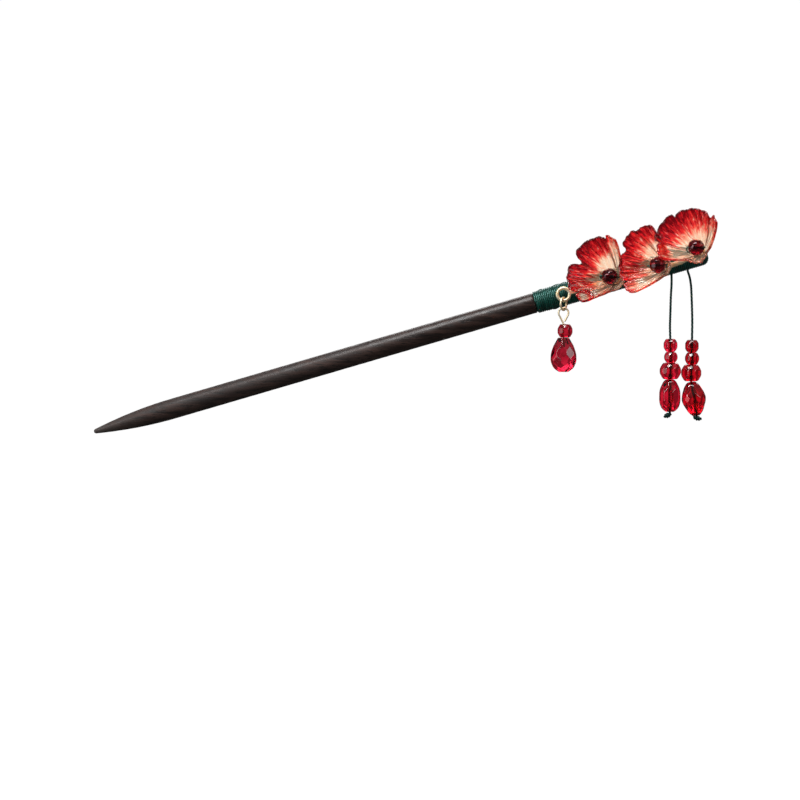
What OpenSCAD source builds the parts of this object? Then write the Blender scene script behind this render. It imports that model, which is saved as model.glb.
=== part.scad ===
// Hair stick: a dark wooden stick, bound with green thread at its head, with three glass
// flowers on a brass branch, a drop on an eye ring, and two strings of faceted beads.
// The origin is on the stick's axis at the grip. +X runs to the head, +Z up, -Y to the front.

/* [Stick] */
// Whole length, from the tip to the bound end
stick_length = 185; // [170:1:200]
// Diameter of the wooden shaft
shaft_d = 5.9; // [5.4:0.1:6.4]
// Length of the tapered tip
taper_length = 24; // [15:1:40]
// Diameter of the blunt nose at the tip
nose_d = 1.4; // [1:0.1:2.4]
// Lean of the stick above level, in degrees
lean = 16.3; // [8:0.1:24]
// Place of the grip point, measured from the tip
grip_from_tip = 66; // [60:1:72]

/* [Thread binding] */
// Length of stick that the thread covers
bound_length = 52; // [48:1:60]
// Thickness of the wound layer
bound_wall = 0.61; // [0.4:0.01:0.8]
// Diameter of the thread that the beads hang on
string_d = 0.7; // [0.5:0.05:0.8]
// Diameter of the finer thread that ties the dark beads
tie_d = 0.45; // [0.3:0.05:0.5]

/* [Brass] */
// Width of the branch's strip
strip_w = 1.4; // [1.2:0.1:1.8]
// Thickness of the strip
strip_t = 0.8; // [0.6:0.1:1]
// Outer diameter of the eye ring at its end
eye_d = 4.5; // [4.2:0.1:5]
// Wire thickness of the eye ring
eye_wire = 0.95; // [0.8:0.05:1]
// Outer diameter of the jump ring
jump_d = 4.2; // [4:0.1:4.4]
// Wire thickness of the jump ring
jump_wire = 0.6; // [0.5:0.05:0.7]
// Wire thickness of the drop's pin
pin_wire = 0.55; // [0.45:0.05:0.6]
// Outer width of the pin's pear-shaped loop
loop_w = 3.4; // [3:0.1:3.8]

/* [Flowers] */
// Reach of a full petal, from the hub's underside to its rim
petal_reach = 13; // [11:0.5:13.5]
// Thickness of the pressed glass at the hub
glass_wall = 0.9; // [0.8:0.1:1]
// Diameter of the dark bead in each flower
garnet_d = 4.8; // [4.4:0.1:5]

/* [Drop] */
// Width of the teardrop
stone_w = 7.6; // [6.5:0.1:8.5]
// Height of the teardrop
stone_h = 9.9; // [9:0.1:11]
// Width of the round bead above it
cap_bead_w = 4.3; // [3.8:0.1:4.8]
// Height of the round bead above it
cap_bead_h = 3.9; // [3.4:0.1:4.4]
// How far the round bead's bore is off its middle
cap_bead_off = 0.45; // [0:0.05:0.6]

/* [Hidden] */
$fn = 64;

// Room between pieces that touch
gap = 0.05;
shaft_r = shaft_d / 2;
nose_r = nose_d / 2;
// The bed turned into the wood for the thread: its depth, and how far its shoulder stands off
// the first turn
bed_depth = 0.25;
bed_room = 0.1;
core_r = shaft_r - bed_depth;
bound_r = core_r + gap + bound_wall;
// The first turns are laid on thinner than the rest
first_turns = 3;
first_wall = bound_wall * 2 / 3;
wood_corner = 1.4;

// How far in front of the stick's axis the strip's middle runs, and the eye ring stands
strip_out = bound_r + gap + strip_t / 2;
eye_out = 5;
eye_from_head = 43.4;
// The branch's middle line, from the eye ring to the head.
// Columns: distance from the bound end, lift off the binding, shift across the stick
BRANCH = [
    [41.6, eye_out - strip_out, 0],
    [40.6, 1.0, 0],
    [39.2, 0.25, 0],
    [38.2, 0, 0],
    [27.3, 0, -0.3],
    [19.0, 0, -0.6],
    [16.6, 0.3, -0.7],
    [15.2, 1.3, -0.75],
    [14.2, 2.7, -0.8],
    [13.2, 3.2, -0.8],
    [10.5, 3.2, -0.7],
    [8.0, 3.3, -0.5],
    [5.5, 3.7, 0],
    [3.8, 4.3, 0.3],
    [1.2, 4.3, 0.4]
];

// Where each flower stands on the branch and how its cup leans.
// Columns: distance from the bound end, lift of the branch there, shift across the stick,
// direction that the cup leans to, lean of the cup, direction of its bead's bore
FLOWERS = [
    [27.5, 0.25, -0.3, 139.7, 37, 29],
    [12.6, 3.2, -0.8, 153.7, 48, 20],
    [1.9, 4.3, 0.4, 123.2, 35, 62]
];
// The petals of each flower, anticlockwise, four wide ones and a short one in front.
// Columns: direction of its two edges, share of the full reach, half-angle of the cup there,
// share of the reach left in the gap after it
PETALS = [
    [
        [-99, -77, 1.0, 47, 0.9],
        [-73, -5, 1.04, 47, 0.86],
        [-2, 57, 1.05, 47, 0.86],
        [61, 88, 0.98, 47, 0.28],
        [145, 190, 0.3, 47, 0.1]
    ],
    [
        [-84, -54, 0.94, 58, 0.93],
        [-51, -21, 1.07, 54, 0.86],
        [-8, 45, 0.99, 40, 0.88],
        [49, 80, 1.0, 44, 0.16],
        [150, 200, 0.1, 50, 0.05]
    ],
    [
        [-117, -93, 0.99, 47, 0.88],
        [-90, -19, 0.97, 47, 0.92],
        [-16, 37, 1.06, 47, 0.92],
        [40, 77, 1.02, 47, 0.34],
        [108, 152, 0.46, 47, 0.1]
    ]
];
hub_r = 1;
rim_wall = 0.7;
petal_steps = 12;
wall_steps = 7;
petal_bulge = 0.5;
petal_fold = 0.3;
corner_round = 0.06;
scallop = 0.012;
rib_height = 0.1;
// The brass washer that each flower stands on, and how deep it is set into the strip
seat_d = 2.8;
seat_bore = 1.9;
seat_t = 0.6;
seat_sunk = 0.3;
// Height of the dark bead's middle over the hub's underside
garnet_up = glass_wall + 0.5 + garnet_d / 2;
bore_lean = 45;

string_bore = 1.1;
tie_bore = 0.9;
pin_bore = 0.8;
// How deep the pin is glued into the teardrop
pin_depth = 3;

// How each kind of bead is cut, from its lower end up.
// Columns: share of the half width, share of the height
ROUND_CUT = [[0.45, 0], [0.86, 0.22], [1, 0.5], [0.86, 0.78], [0.45, 1]];
DROP_CUT = [[0.34, 0], [0.7, 0.09], [0.93, 0.26], [1, 0.44], [0.85, 0.66], [0.6, 0.87], [0.42, 1]];
BARREL_CUT = [[0.4, 0], [0.78, 0.1], [0.97, 0.3], [1, 0.52], [0.9, 0.74], [0.64, 0.91], [0.4, 1]];
OLIVE_CUT = [[0.3, 0], [0.62, 0.16], [0.9, 0.36], [1, 0.5], [0.86, 0.7], [0.6, 0.89], [0.34, 1]];

// The two strings. Columns of a bead's row: width, depth, height, cut, shift to the side, lean
LEFT_BEADS = [
    [4.0, 4.0, 3.7, ROUND_CUT, -0.3, 0],
    [3.9, 3.9, 3.1, ROUND_CUT, -0.2, 0],
    [6.2, 6.0, 4.8, ROUND_CUT, -0.35, 0],
    [6.1, 6.1, 9.4, BARREL_CUT, -0.5, 0]
];
RIGHT_BEADS = [
    [4.0, 4.0, 3.6, ROUND_CUT, 0.35, 0],
    [4.2, 4.0, 3.5, ROUND_CUT, 0.4, 0],
    [5.8, 5.8, 4.8, ROUND_CUT, 0.15, 0],
    [7.6, 6.2, 9.9, OLIVE_CUT, 0.9, 9]
];
// Where each string leaves the binding: distance from the bound end, shift across the stick,
// distance in front of the axis, and the drop from there to its first bead
LEFT_HANG = [11.8, -3.65, 1.1, 18.2];
RIGHT_HANG = [6.0, -3.85, -1.1, 19.9];
// The free part of each thread. Columns: shift to the side, drop below the binding
LEFT_PATH = [[0, 0], [0, -2.5], [-0.2, -6], [-0.35, -11], [-0.45, -15]];
RIGHT_PATH = [[-0.85, 0], [-0.4, -1.4], [-0.1, -2.8], [0.15, -5], [0.35, -10], [0.45, -15]];
// The end knots. Columns: shift to the side, drop below the last bead, radius
LEFT_KNOT = [[0, -0.2, 0.4], [-0.15, -0.65, 0.8], [-0.5, -1, 1.1], [-0.95, -1.35, 0.9], [-1.3, -1.6, 0.4]];
RIGHT_KNOT = [[0, -0.05, 0.6], [0.1, -0.3, 1.1], [0.25, -0.65, 1.3], [0.4, -1, 1], [0.5, -1.2, 0.5]];

function mix(a, b, t) = a + (b - a) * t;
function from_tip(from_head) = stick_length - from_head;
function along(from_head) = from_tip(from_head) - grip_from_tip;
function x_of(from_head, across) = along(from_head) * cos(lean) - across * sin(lean);
function z_of(from_head, across) = along(from_head) * sin(lean) + across * cos(lean);

// The drop hangs plumb from the lowest point of the eye ring
eye_x = x_of(eye_from_head, 0);
eye_z = z_of(eye_from_head, 0);
eye_r = (eye_d - eye_wire) / 2;
jump_r = (jump_d - jump_wire) / 2;
jump_turn = 28;
swing_z = eye_z - eye_r;
jump_z = swing_z + eye_wire / 2 + gap + jump_wire / 2 - jump_r;
hook_z = jump_z - jump_r;
loop_r = (loop_w - pin_wire) / 2;
loop_z = hook_z + jump_wire / 2 + gap + pin_wire / 2 - loop_r;
loop_point = 3.15;
loop_half = asin(loop_r / loop_point);
cap_bead_top = loop_z - loop_point - 0.1;
stone_top = cap_bead_top - cap_bead_h - gap;

// Frame of the stick: x from the tip, z across it, -y to the front
module stick_frame() {
    rotate([0, -lean, 0]) translate([-grip_from_tip, 0, 0]) children();
}

// Frame of a flower: its hub's underside at the origin, its cup opening along z
module flower_frame(f) {
    half_seat = seat_d / 2;
    up = (seat_t + gap) * cos(f[4]) + half_seat * sin(f[4]) - seat_sunk;
    out = strip_out + strip_t / 2 + f[1] + up;
    stick_frame() translate([from_tip(f[0]), -out, f[2]])
        rotate([90, 0, 0]) rotate([0, 0, f[3]]) rotate([0, f[4], 0]) children();
}

// Frame of the drop: straight below the eye ring, at the height z
module drop_frame(z) {
    translate([eye_x, -eye_out, z]) children();
}

// Triangles between two rings of n points, the second turned on by shift points
function band(a, b, n, shift) = [
    for (j = [0:n - 1])
        let (j2 = (j + 1) % n, k = (j + shift) % n, k2 = (j + shift + 1) % n)
            each [[a + j, b + k, a + j2], [a + j2, b + k, b + k2]]
];

// A solid through rings of points. An open one is capped, a closed one joins its ends
module ring_solid(rings, closed, shift = 0) {
    n = len(rings[0]);
    last = len(rings) - 1;
    sides = [for (i = [0:last - 1]) each band(i * n, (i + 1) * n, n, 0)];
    caps = [[for (j = [0:n - 1]) j], [for (j = [0:n - 1]) last * n + n - 1 - j]];
    ends = closed ? band(last * n, 0, n, shift) : caps;
    polyhedron(points = [for (r = rings) each r], faces = concat(sides, ends));
}

// A ring of a cut bead, turned by half a facet for each ring below it
function cut_ring(rx, ry, z, m, n) = [
    for (j = [0:n - 1])
        let (a = (j + m / 2) * 360 / n) [rx * cos(a), ry * sin(a), z]
];
function cut_rings(w, d, h, cut, first, n) = [
    for (i = [0:len(cut) - 1])
        cut_ring(w / 2 * cut[i][0], d / 2 * cut[i][0], h * (cut[i][1] - 0.5), i + first, n)
];

// A faceted bead drilled along z, with its middle at the origin
module cut_bead(w, d, h, cut, bore, off = 0, n = 12) {
    m = len(cut) + 1;
    low = [for (p = cut_ring(bore / 2, bore / 2, -h / 2, 0, n)) p - [off, 0, 0]];
    high = [for (p = cut_ring(bore / 2, bore / 2, h / 2, m, n)) p - [off, 0, 0]];
    ring_solid(concat([low], cut_rings(w, d, h, cut, 1, n), [high]), true, m / 2);
}

// A faceted bead with a blind hole from its top
module cut_drop(w, d, h, cut, bore, depth, n = 12) {
    m = len(cut);
    high = cut_ring(bore / 2, bore / 2, h / 2, m, n);
    floor_ring = cut_ring(bore / 2, bore / 2, h / 2 - depth, m + 1, n);
    ring_solid(concat(cut_rings(w, d, h, cut, 0, n), [high, floor_ring]), false);
}

// A thread through the rows of path in the x-z plane. Columns: x, z, radius
function heading(path, i) =
    let (a = path[max(i - 1, 0)], b = path[min(i + 1, len(path) - 1)])
        atan2(b[1] - a[1], b[0] - a[0]);
function strand_ring(p, turn, n) = [
    for (j = [0:n - 1])
        let (a = j * 360 / n, side = p[2] * cos(a))
            [p[0] - side * sin(turn), -p[2] * sin(a), p[1] + side * cos(turn)]
];
module strand(path, n = 8) {
    ring_solid([for (i = [0:len(path) - 1]) strand_ring(path[i], heading(path, i), n)], false);
}

// A rounded end of a turned outline, from its side to the axis
function round_end(r, end, corner) = concat(
    [for (a = [0:15:90]) [r - corner + corner * cos(a), end - corner + corner * sin(a)]],
    [[0, end]]
);

module wood_shaft() {
    nose = [for (a = [0:22.5:67.5]) [nose_r * sin(a), nose_r * (1 - cos(a))]];
    taper = [
        for (t = [0:0.1:1])
            [mix(nose_r, shaft_r, 1 - (1 - t) * (1 - t)), mix(nose_r, taper_length, t)]
    ];
    bed = stick_length - bound_length - bed_room;
    top = round_end(core_r, stick_length - bound_wall - gap, wood_corner);
    color("#2c211f") stick_frame() rotate([0, 90, 0])
        rotate_extrude() polygon(concat(nose, taper, [[shaft_r, bed], [core_r, bed]], top));
}

module thread_binding() {
    start = stick_length - bound_length;
    inner_r = core_r + gap;
    step = [
        [inner_r, start],
        [inner_r + first_wall, start],
        [inner_r + first_wall, start + first_turns],
        [bound_r, start + first_turns + 0.4]
    ];
    outside = round_end(bound_r, stick_length, wood_corner + gap + bound_wall);
    pocket = round_end(inner_r, stick_length - bound_wall, wood_corner + gap);
    inside = [for (i = [len(pocket) - 1:-1:0]) pocket[i]];
    color("#123c31") stick_frame() rotate([0, 90, 0])
        rotate_extrude() polygon(concat(step, outside, inside));
}

// Side view and front view of the strip, one row of the branch to each point
function strip_side(half) = concat(
    [for (p = BRANCH) [from_tip(p[0]), -(strip_out + p[1]) + half]],
    [for (i = [len(BRANCH) - 1:-1:0]) [from_tip(BRANCH[i][0]), -(strip_out + BRANCH[i][1]) - half]]
);
function strip_front(half) = concat(
    [for (p = BRANCH) [from_tip(p[0]), p[2] + half]],
    [for (i = [len(BRANCH) - 1:-1:0]) [from_tip(BRANCH[i][0]), BRANCH[i][2] - half]]
);

module brass_branch() {
    color("#d9b877") {
        stick_frame() translate([from_tip(eye_from_head), -eye_out, 0]) rotate([90, 0, 0])
            rotate_extrude() translate([eye_r, 0]) circle(d = eye_wire);
        stick_frame() intersection() {
            linear_extrude(height = 4 * strip_w, center = true) polygon(strip_side(strip_t / 2));
            rotate([90, 0, 0]) linear_extrude(height = 4 * strip_out)
                polygon(strip_front(strip_w / 2));
        }
        for (f = FLOWERS) {
            stick_frame() translate([from_tip(f[0]), -(strip_out + f[1]), f[2]])
                rotate([90, 0, 0]) cylinder(d = seat_d, h = strip_t, center = true);
            flower_frame(f) translate([0, 0, -gap - seat_t]) difference() {
                cylinder(d = seat_d, h = seat_t);
                translate([0, 0, -0.5]) cylinder(d = seat_bore, h = seat_t + 1);
            }
        }
    }
}

// The directions in which a flower's wall is drawn: across each petal from edge to edge, then
// over the gap to the next one. Columns: direction, share of the full reach, half-angle of
// the cup, place across the petal from -1 to 1, and 1 on a petal but 0 in a gap
function petal_lines(p) = [
    for (k = [0:petal_steps])
        let (w = 2 * k / petal_steps - 1, edge = 1 - corner_round * pow(w, 4))
            [mix(p[0], p[1], (w + 1) / 2), p[2] * (edge + scallop * cos(540 * w)), p[3], w, 1]
];
function gap_lines(p, q, turn_on) = [
    for (t = [0.06, 0.35, 0.65, 0.94])
        [mix(p[1], q[0] + turn_on, t), p[4], mix(p[3], q[3], t), 1 - 2 * t, 0]
];
function flower_lines(petals) = [
    for (i = [0:len(petals) - 1])
        let (j = (i + 1) % len(petals))
            each concat(petal_lines(petals[i]), gap_lines(petals[i], petals[j], j == 0 ? 360 : 0))
];

// One point of a flower's wall. u runs from the hub to the rim, and side is 0 inside the cup
// and 1 outside. Every petal is cut from one bowl, and then it bulges, one edge of it folds
// outward and the other inward, and it has fine ribs.
function wall_point(line, u, side) =
    let (
        far = line[1] * u,
        run = petal_reach * sin(line[2]) - hub_r,
        rise = petal_reach * cos(line[2]),
        slope = atan2(run, 1.5 * rise * pow(far, 0.45)),
        lift = petal_bulge * line[1] * line[4] * (1 - line[3] * line[3]) * sin(180 * u)
            + petal_fold * line[3] * far * u
            + rib_height * cos(720 * line[3]) * min(1, 3 * far),
        out = lift + side * mix(glass_wall, rim_wall, u),
        r = hub_r + run * pow(far, 0.9) + (u == 0 ? 0 : out * cos(slope)),
        z = glass_wall + rise * pow(far, 1.35) - (u == 0 ? side * glass_wall : out * sin(slope))
    )
    [r * cos(line[0]), r * sin(line[0]), z];
function wall_ring(lines, u, side) = [for (line = lines) wall_point(line, u, side)];

module flower(i) {
    lines = flower_lines(PETALS[i]);
    outside = [for (k = [0:wall_steps]) wall_ring(lines, k / wall_steps, 1)];
    inside = [for (k = [wall_steps:-1:0]) wall_ring(lines, k / wall_steps, 0)];
    color("#c8202c") flower_frame(FLOWERS[i]) ring_solid(concat(outside, inside), true);
}

module flower_bead(i) {
    color("#3a0a14") flower_frame(FLOWERS[i]) translate([0, 0, garnet_up])
        rotate([0, 0, FLOWERS[i][5]]) rotate([0, 90 - bore_lean, 0])
            cut_bead(garnet_d, garnet_d, garnet_d * 0.96, ROUND_CUT, tie_bore);
}

// The tie comes up through the hub, round one side of the bead, down through its leaning bore
// and back into the hub
function round_bead(out, a) = let (r = garnet_d / 2 + out) [r * cos(a), garnet_up + r * sin(a)];
module flower_tie(i) {
    path = concat(
        [[0.55, -0.55], [0.55, glass_wall + 0.2]],
        [for (a = [-57:18:33]) round_bead(0.42, a)],
        [for (out = [0.35, -1.2]) round_bead(out, bore_lean)],
        [for (out = [-1.2, 0.3]) round_bead(out, 180 + bore_lean)],
        [[-1.68, glass_wall + 0.64], [-1.15, glass_wall + 0.36], [-0.6, glass_wall + 0.2], [-0.55, -0.55]]
    );
    color("#1c5a48") flower_frame(FLOWERS[i]) rotate([0, 0, FLOWERS[i][5]])
        strand([for (p = path) [p[0], p[1], tie_d / 2]], 8);
}

module jump_ring() {
    color("#d9b877") drop_frame(jump_z) rotate([0, 0, 90 - jump_turn]) rotate([90, 0, 0])
        rotate_extrude() translate([jump_r, 0]) circle(d = jump_wire);
}

// The pin's wire runs up out of the teardrop, round the pear-shaped loop, and its end stops
// against the first leg
module drop_pin() {
    r = pin_wire / 2;
    foot = stone_top - pin_depth + gap - loop_z;
    leg = loop_point * cos(loop_half);
    end_room = (pin_wire + gap) / sin(2 * loop_half);
    path = concat(
        [[0, foot, r], [0, -loop_point - 0.15, r]],
        [for (d = [0.35, leg]) [-d * sin(loop_half), -loop_point + d * cos(loop_half), r]],
        [for (k = [1:12]) let (a = 180 + loop_half - k * (180 + 2 * loop_half) / 12)
            [loop_r * cos(a), loop_r * sin(a), r]],
        [[end_room * sin(loop_half), -loop_point + end_room * cos(loop_half), r]]
    );
    color("#d9b877") drop_frame(loop_z) strand(path, 8);
}

module drop_round_bead() {
    color("#a3122a") drop_frame(cap_bead_top - cap_bead_h / 2) translate([cap_bead_off, 0, 0])
        cut_bead(cap_bead_w, cap_bead_w, cap_bead_h, ROUND_CUT, pin_bore, cap_bead_off);
}

module drop_stone() {
    color("#a3122a") drop_frame(stone_top - stone_h / 2)
        cut_drop(stone_w, stone_w * 0.82, stone_h, DROP_CUT, pin_bore, pin_depth);
}

// Height that a leaning bead takes up, and the drop from the first bead's top to the top of
// bead i
function room(b) = b[2] * cos(b[5]) + b[0] * b[3][0][0] * sin(b[5]) + gap;
function stack(beads, i) = i == 0 ? 0 : stack(beads, i - 1) + room(beads[i - 1]);
function hang_x(hang) = x_of(hang[0], hang[1]);
function bead_z(hang, beads, i) =
    z_of(hang[0], hang[1]) - hang[3] - stack(beads, i) - (room(beads[i]) - gap) / 2;
// The ends of bead i's bore, the upper one with end = 1
function bore_end(hang, beads, i, end) =
    let (b = beads[i], half = end * b[2] / 2)
        [hang_x(hang) + b[4] - half * sin(b[5]), bead_z(hang, beads, i) + half * cos(b[5])];

module string_bead(hang, beads, i) {
    b = beads[i];
    color("#b5142a") translate([hang_x(hang) + b[4], -hang[2], bead_z(hang, beads, i)])
        rotate([0, -b[5], 0]) cut_bead(b[0], b[1], b[2], b[3], string_bore);
}

module string_thread(hang, beads, path, knot) {
    r = string_d / 2;
    top = [hang_x(hang), z_of(hang[0], hang[1])];
    last = len(beads) - 1;
    free = [for (p = path) [top[0] + p[0], top[1] + p[1], r]];
    threaded = [for (i = [0:last - 1]) [hang_x(hang) + beads[i][4], bead_z(hang, beads, i), r]];
    over = bore_end(hang, beads, last, 1);
    under = bore_end(hang, beads, last, -1);
    low = under - [0, gap + beads[last][0] * beads[last][3][0][0] / 2 * sin(beads[last][5])];
    tied = [for (k = knot) [low[0] + k[0], low[1] + k[1], k[2]]];
    color("#16493c") translate([0, -hang[2], 0])
        strand(concat(free, threaded, [[over[0], over[1], r], [under[0], under[1], r]], tied), 8);
}

wood_shaft();
thread_binding();
brass_branch();
for (i = [0:2]) {
    flower(i);
    flower_bead(i);
    flower_tie(i);
}
jump_ring();
drop_pin();
drop_round_bead();
drop_stone();
string_thread(LEFT_HANG, LEFT_BEADS, LEFT_PATH, LEFT_KNOT);  // left_thread
string_thread(RIGHT_HANG, RIGHT_BEADS, RIGHT_PATH, RIGHT_KNOT);  // right_thread
for (i = [0:3]) {
    string_bead(LEFT_HANG, LEFT_BEADS, i);
    string_bead(RIGHT_HANG, RIGHT_BEADS, i);
}
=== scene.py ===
"""A hair stick: dark wood bound with green thread, with three glass flowers on a brass branch,
a glass drop on an eye ring and two strings of cut beads. Sizes are in millimetres."""
import bpy
import numpy as np
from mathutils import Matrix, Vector


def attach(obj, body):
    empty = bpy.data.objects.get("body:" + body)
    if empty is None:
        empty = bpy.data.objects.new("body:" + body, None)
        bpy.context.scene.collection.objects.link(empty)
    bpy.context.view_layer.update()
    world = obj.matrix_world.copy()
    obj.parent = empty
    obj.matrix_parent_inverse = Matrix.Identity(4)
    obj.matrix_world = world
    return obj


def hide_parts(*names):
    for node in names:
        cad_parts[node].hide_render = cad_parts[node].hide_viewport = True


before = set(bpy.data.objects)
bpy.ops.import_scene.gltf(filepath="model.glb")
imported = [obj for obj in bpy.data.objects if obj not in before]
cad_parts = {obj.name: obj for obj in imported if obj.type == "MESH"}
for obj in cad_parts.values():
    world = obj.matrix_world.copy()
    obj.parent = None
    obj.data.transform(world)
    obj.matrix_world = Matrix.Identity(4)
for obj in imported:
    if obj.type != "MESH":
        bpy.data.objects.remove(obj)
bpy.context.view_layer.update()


# The wooden stick
# One length of dark, close-grained wood, turned round, tapered to a blunt tip and oiled. It is
# the core that the thread is wound on, and handling has polished it and dulled its tip.
MM = 0.001
GAP = 0.05
STICK_LENGTH = 185.0
GRIP_FROM_TIP = 66.0
LEAN = np.radians(16.3)
SHAFT_R = 2.95
CORE_R = 2.7
TAPER_LENGTH = 24.0
NOSE_R = 0.7
BOUND_LENGTH = 52.0
BOUND_WALL = 0.61
WOOD_CORNER = 1.4
TURNING_WAVE = 0.018
TURNING_LOBES = 0.012
WORN_WAVE = 0.01
WORN_OFF = 0.03
DULL_TIP = 16.0
WOOD_DARK = (0.0095, 0.0062, 0.0054, 1)
WOOD_BROWN = (0.040, 0.0185, 0.0135, 1)
WOOD_BAND = (0.019, 0.0092, 0.0075, 1)
WOOD_PORE = (0.004, 0.003, 0.003, 1)
WOOD_DUSTY = (0.06, 0.052, 0.048, 1)


def stick_to_frame(points):
    """Points given as distance from the tip, depth (front negative) and height across the stick,
    turned by the stick's lean about the grip point, in metres."""
    along = points[..., 0] - GRIP_FROM_TIP
    across = points[..., 2]
    x = along * np.cos(LEAN) - across * np.sin(LEAN)
    z = along * np.sin(LEAN) + across * np.cos(LEAN)
    return np.stack([x, points[..., 1], z], -1) * MM


def circle(steps):
    """Angles spread evenly round a full turn."""
    return np.linspace(0, 2 * np.pi, steps, endpoint=False)


def around_z(radius, angle, z):
    """Points at a distance from the z axis, at an angle round it and a height along it."""
    return np.stack(np.broadcast_arrays(radius * np.cos(angle), radius * np.sin(angle), z), -1)


def around_stick(along, radius, angle):
    """Points beside the stick's axis, at an angle round it that starts from the front."""
    return np.stack(np.broadcast_arrays(along, -radius * np.cos(angle), radius * np.sin(angle)), -1)


def add_object(name, data):
    """A new object in the scene."""
    made = bpy.data.objects.new(name, data)
    bpy.context.scene.collection.objects.link(made)
    return made


def ring_quads(count, sides, looped=False):
    """Quads that join neighbouring rings of points, after each quad's ring and place in it."""
    k, j = np.meshgrid(np.arange(count if looped else count - 1), np.arange(sides), indexing="ij")
    k2, j2 = (k + 1) % count, (j + 1) % sides
    corners = [k * sides + j, k * sides + j2, k2 * sides + j2, k2 * sides + j]
    return k, j, np.stack(corners, -1).reshape(-1, 4)


def shell(name, rings, looped=False, uv_scale=(1.0, 1.0)):
    """A closed mesh through rings of points, rings[k, j]. Neighbouring rings are joined by quads.
    A looped shell joins its last ring to its first; any other ends in a point at each end ring's
    middle. The UV map runs once along the rings' order and once round each ring. The sign of
    the volume inside tells which way the faces have to turn."""
    count, sides = rings.shape[:2]
    spans = count if looped else count - 1
    k, j, quads = ring_quads(count, sides, looped)
    faces = [quads]
    u = np.stack([k, k, k + 1, k + 1], -1) / spans
    v = np.stack([j, j + 1, j + 1, j], -1) / sides
    face_uv = [np.stack([u, v], -1).reshape(-1, 4, 2)]
    points = rings.reshape(-1, 3)
    j = np.arange(sides)
    for row, edge in () if looped else ((0, (j + 1, j)), (count - 1, (j, j + 1))):
        fan = [row * sides + edge[0] % sides, row * sides + edge[1] % sides, np.full(sides, len(points))]
        faces.append(np.stack(fan, -1))
        v = np.stack([*edge, j + 0.5], -1) / sides
        face_uv.append(np.stack([np.full_like(v, row / spans), v], -1))
        points = np.concatenate([points, rings[[row]].mean(1)])
    volume = sum(np.sum(points[f[:, 0]] * np.cross(points[f[:, i]], points[f[:, i + 1]]))
                 for f in faces for i in range(1, f.shape[1] - 1))
    way = -1 if volume < 0 else 1
    mesh = bpy.data.meshes.new(name)
    mesh.from_pydata(points.tolist(), [], [face for part in faces for face in part[:, ::way].tolist()])
    uv = np.concatenate([part[:, ::way].reshape(-1, 2) for part in face_uv]) * uv_scale
    mesh.uv_layers.new(name="UVMap").data.foreach_set("uv", uv.astype(np.float32).ravel())
    mesh.shade_smooth()
    return add_object(name, mesh)


def feed(tree, node, inputs):
    """Sets a node's inputs to values, or links them to sockets."""
    for key, value in inputs.items():
        if isinstance(value, bpy.types.NodeSocket):
            tree.links.new(value, node.inputs[key])
        else:
            node.inputs[key].default_value = value


def add_node(tree, kind, inputs=None, **settings):
    """A shader node with its settings, and its inputs set to values or linked to sockets."""
    node = tree.nodes.new("ShaderNode" + kind)
    for key, value in settings.items():
        setattr(node, key, value)
    feed(tree, node, inputs or {})
    return node


def coordinates(tree, kind="Object"):
    """The piece's own coordinates, or its UV map."""
    return add_node(tree, "TexCoord").outputs[kind]


def noise(tree, place, scale, detail=2.0, roughness=0.5, distortion=0.0):
    """A cloudy noise from 0 to 1."""
    return add_node(tree, "TexNoise", {
        "Vector": place, "Scale": scale, "Detail": detail, "Roughness": roughness,
        "Distortion": distortion}).outputs["Fac"]


def span(tree, value, low, high, to_low=0.0, to_high=1.0):
    """The value moved from one range to another, and kept inside it."""
    return add_node(tree, "MapRange", {
        "Value": value, "From Min": low, "From Max": high, "To Min": to_low,
        "To Max": to_high}).outputs["Result"]


def blend(tree, factor, a, b):
    """Two colours mixed by a factor."""
    return add_node(tree, "Mix", {0: factor, 6: a, 7: b}, data_type="RGBA").outputs[2]


def arithmetic(tree, kind, a, b=0.0):
    """A result worked out from one or two values."""
    return add_node(tree, "Math", {0: a, 1: b}, operation=kind).outputs[0]


def product(tree, a, b):
    """Two values multiplied."""
    return arithmetic(tree, "MULTIPLY", a, b)


def added(tree, *values):
    """The sum of several values."""
    result = values[0]
    for value in values[1:]:
        result = arithmetic(tree, "ADD", result, value)
    return result


def bumps(tree, height, distance, strength):
    """The surface's normal, tilted by small heights."""
    return add_node(tree, "Bump", {
        "Height": height, "Distance": distance, "Strength": strength}).outputs["Normal"]


def material(name, **constants):
    """A material with one Principled BSDF, whose named sockets are set to constants."""
    made = bpy.data.materials.new(name)
    made.use_nodes = True
    tree = made.node_tree
    shader = next(n for n in tree.nodes if n.type == "BSDF_PRINCIPLED")
    feed(tree, shader, {key.replace("_", " "): value for key, value in constants.items()})
    return made, tree, shader


def effect_group(name, inputs, outputs):
    """An empty node group that takes a vector and the named inputs, with their default values,
    and gives the named outputs."""
    tree = bpy.data.node_groups.new(name, "ShaderNodeTree")
    tree.interface.new_socket(name="Vector", in_out="INPUT", socket_type="NodeSocketVector")
    for label, value in inputs.items():
        socket = tree.interface.new_socket(name=label, in_out="INPUT", socket_type="NodeSocketFloat")
        socket.default_value = value
    for label in outputs:
        tree.interface.new_socket(name=label, in_out="OUTPUT", socket_type="NodeSocketFloat")
    return tree, tree.nodes.new("NodeGroupInput").outputs, tree.nodes.new("NodeGroupOutput").inputs


def use_group(tree, group, inputs):
    """The group placed in a material, with its inputs set or linked."""
    return add_node(tree, "Group", inputs, node_tree=group).outputs


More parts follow.
